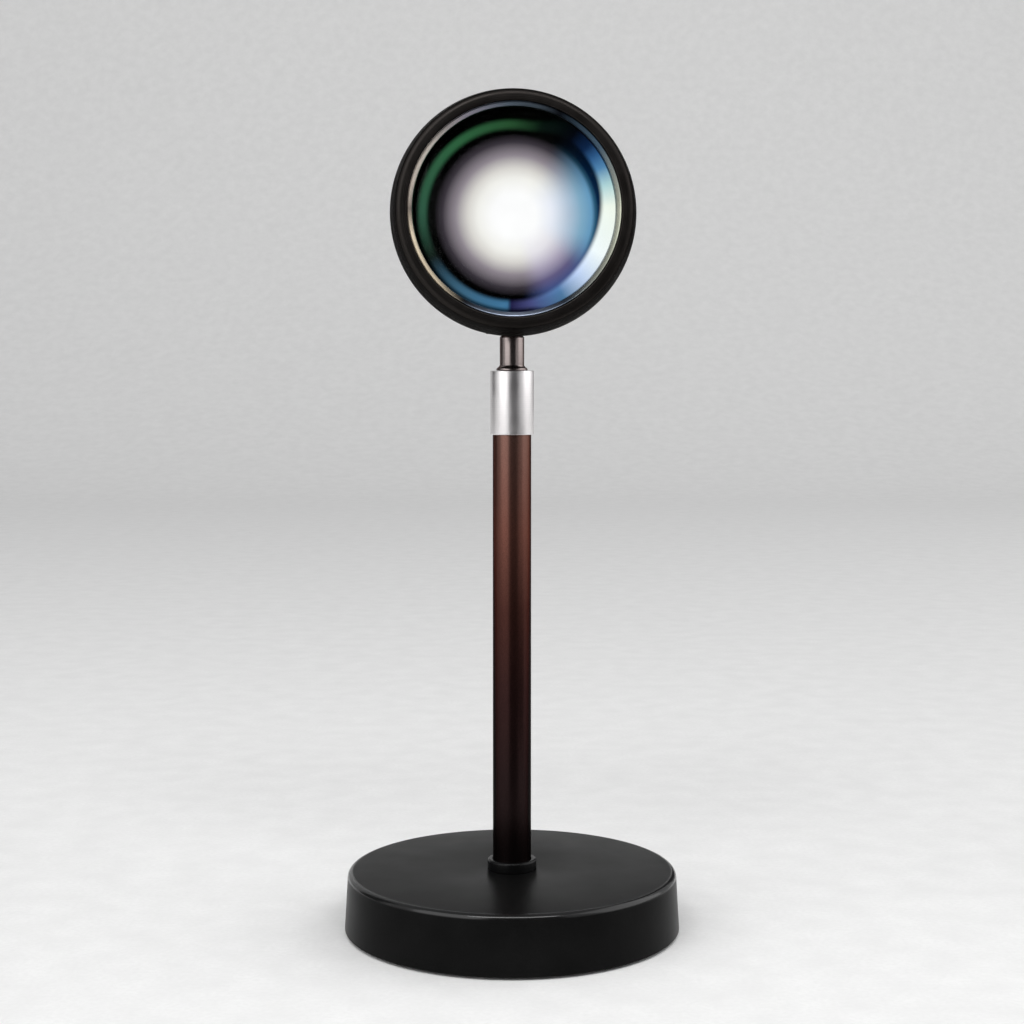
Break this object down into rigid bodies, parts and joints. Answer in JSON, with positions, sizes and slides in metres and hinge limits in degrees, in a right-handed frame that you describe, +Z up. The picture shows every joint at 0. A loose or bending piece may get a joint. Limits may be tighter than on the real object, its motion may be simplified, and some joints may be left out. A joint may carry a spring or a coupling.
{
  "type": "sunset projection lamp",
  "caption": "Desk projector lamp: round weighted base, slim post with a bright ferrule, and a round lensed head that swivels on a plated stem and tilts on a hidden knuckle.",
  "frame": {"origin": "middle of the foot, on the surface that the lamp stands on", "axes": "+Z up along the post; the head looks along -Y; +X is to the right of someone who faces the lens"},
  "size_m": [0.1, 0.1008, 0.2477],
  "materials": {
    "powder_coat": "matte black powder coat, fine texture",
    "satin_paint": "satin black paint on steel tube",
    "gloss_paint": "gloss black paint",
    "black_anodised": "black anodised, fine turned finish",
    "gloss_anodised": "polished and anodised black",
    "satin_nickel": "satin nickel plate",
    "chrome_plate": "polished chrome plate",
    "zinc_steel": "zinc plated steel",
    "dark_steel": "black oxide steel",
    "grey_iron": "as cast",
    "foot_foam": "closed-cell foam rubber",
    "black_rubber": "moulded rubber",
    "lead_sheath": "two-core sheathed wire",
    "tray_plastic": "moulded",
    "circuit_board": "solder-masked laminate",
    "terminal_plastic": "moulded",
    "acetal": "machined acetal",
    "fibre": "vulcanised fibre",
    "coated_glass": "optical glass with a colour-shifting coating",
    "clear_glass": "clear moulded glass",
    "filter_glass": "dichroic filter glass",
    "white_plastic": "moulded white",
    "white_solder_mask": "metal-core board, white solder mask",
    "thermal_silicone": "thermal pad",
    "led_phosphor": "phosphor under silicone"
  },
  "bodies": {
    "base": {"base_cover": "powder_coat", "ballast": "grey_iron", "base_plate": "zinc_steel", "plate_screws": "zinc_steel", "foot_pad": "foot_foam", "cord_grommet": "black_rubber", "driver_tray": "tray_plastic", "driver_board": "circuit_board", "terminal_block": "terminal_plastic", "threaded_tube": "zinc_steel", "tube_nut": "zinc_steel", "lock_washer": "zinc_steel", "post_plug": "zinc_steel", "post_tube": "satin_paint", "post_collar": "gloss_paint", "post_lead": "lead_sheath", "ferrule": "satin_nickel", "swivel_bush": "acetal", "stop_screw": "dark_steel"},
    "stem": {"stem": "chrome_plate", "stem_retainer": "zinc_steel", "thrust_washer": "acetal", "knuckle": "chrome_plate", "stem_lead": "lead_sheath"},
    "head": {"housing": "black_anodised", "bezel": "black_anodised", "lens_ring": "gloss_anodised", "lens": "coated_glass", "lens_gasket": "black_rubber", "light_barrel": "gloss_anodised", "filter_disc": "filter_glass", "filter_clip": "dark_steel", "condenser_lens": "clear_glass", "condenser_holder": "white_plastic", "led_board": "white_solder_mask", "thermal_pad": "thermal_silicone", "led_emitter": "led_phosphor", "led_screws": "zinc_steel", "head_lead": "lead_sheath", "heat_sink": "black_anodised", "heat_sink_screw": "dark_steel", "pivot_screws": "dark_steel", "pivot_washers": "fibre"}
  },
  "joints": [
    {"name": "head_swivel", "type": "hinge", "parent": "base", "child": "stem", "pos_m": [0, 0, 0.167], "axis": [0, 0, 1], "range_deg": [-154, 154]},
    {"name": "head_tilt", "type": "hinge", "parent": "stem", "child": "head", "pos_m": [0, 0, 0.183], "axis": [-1, 0, 0], "range_deg": [-40, 60]}
  ]
}
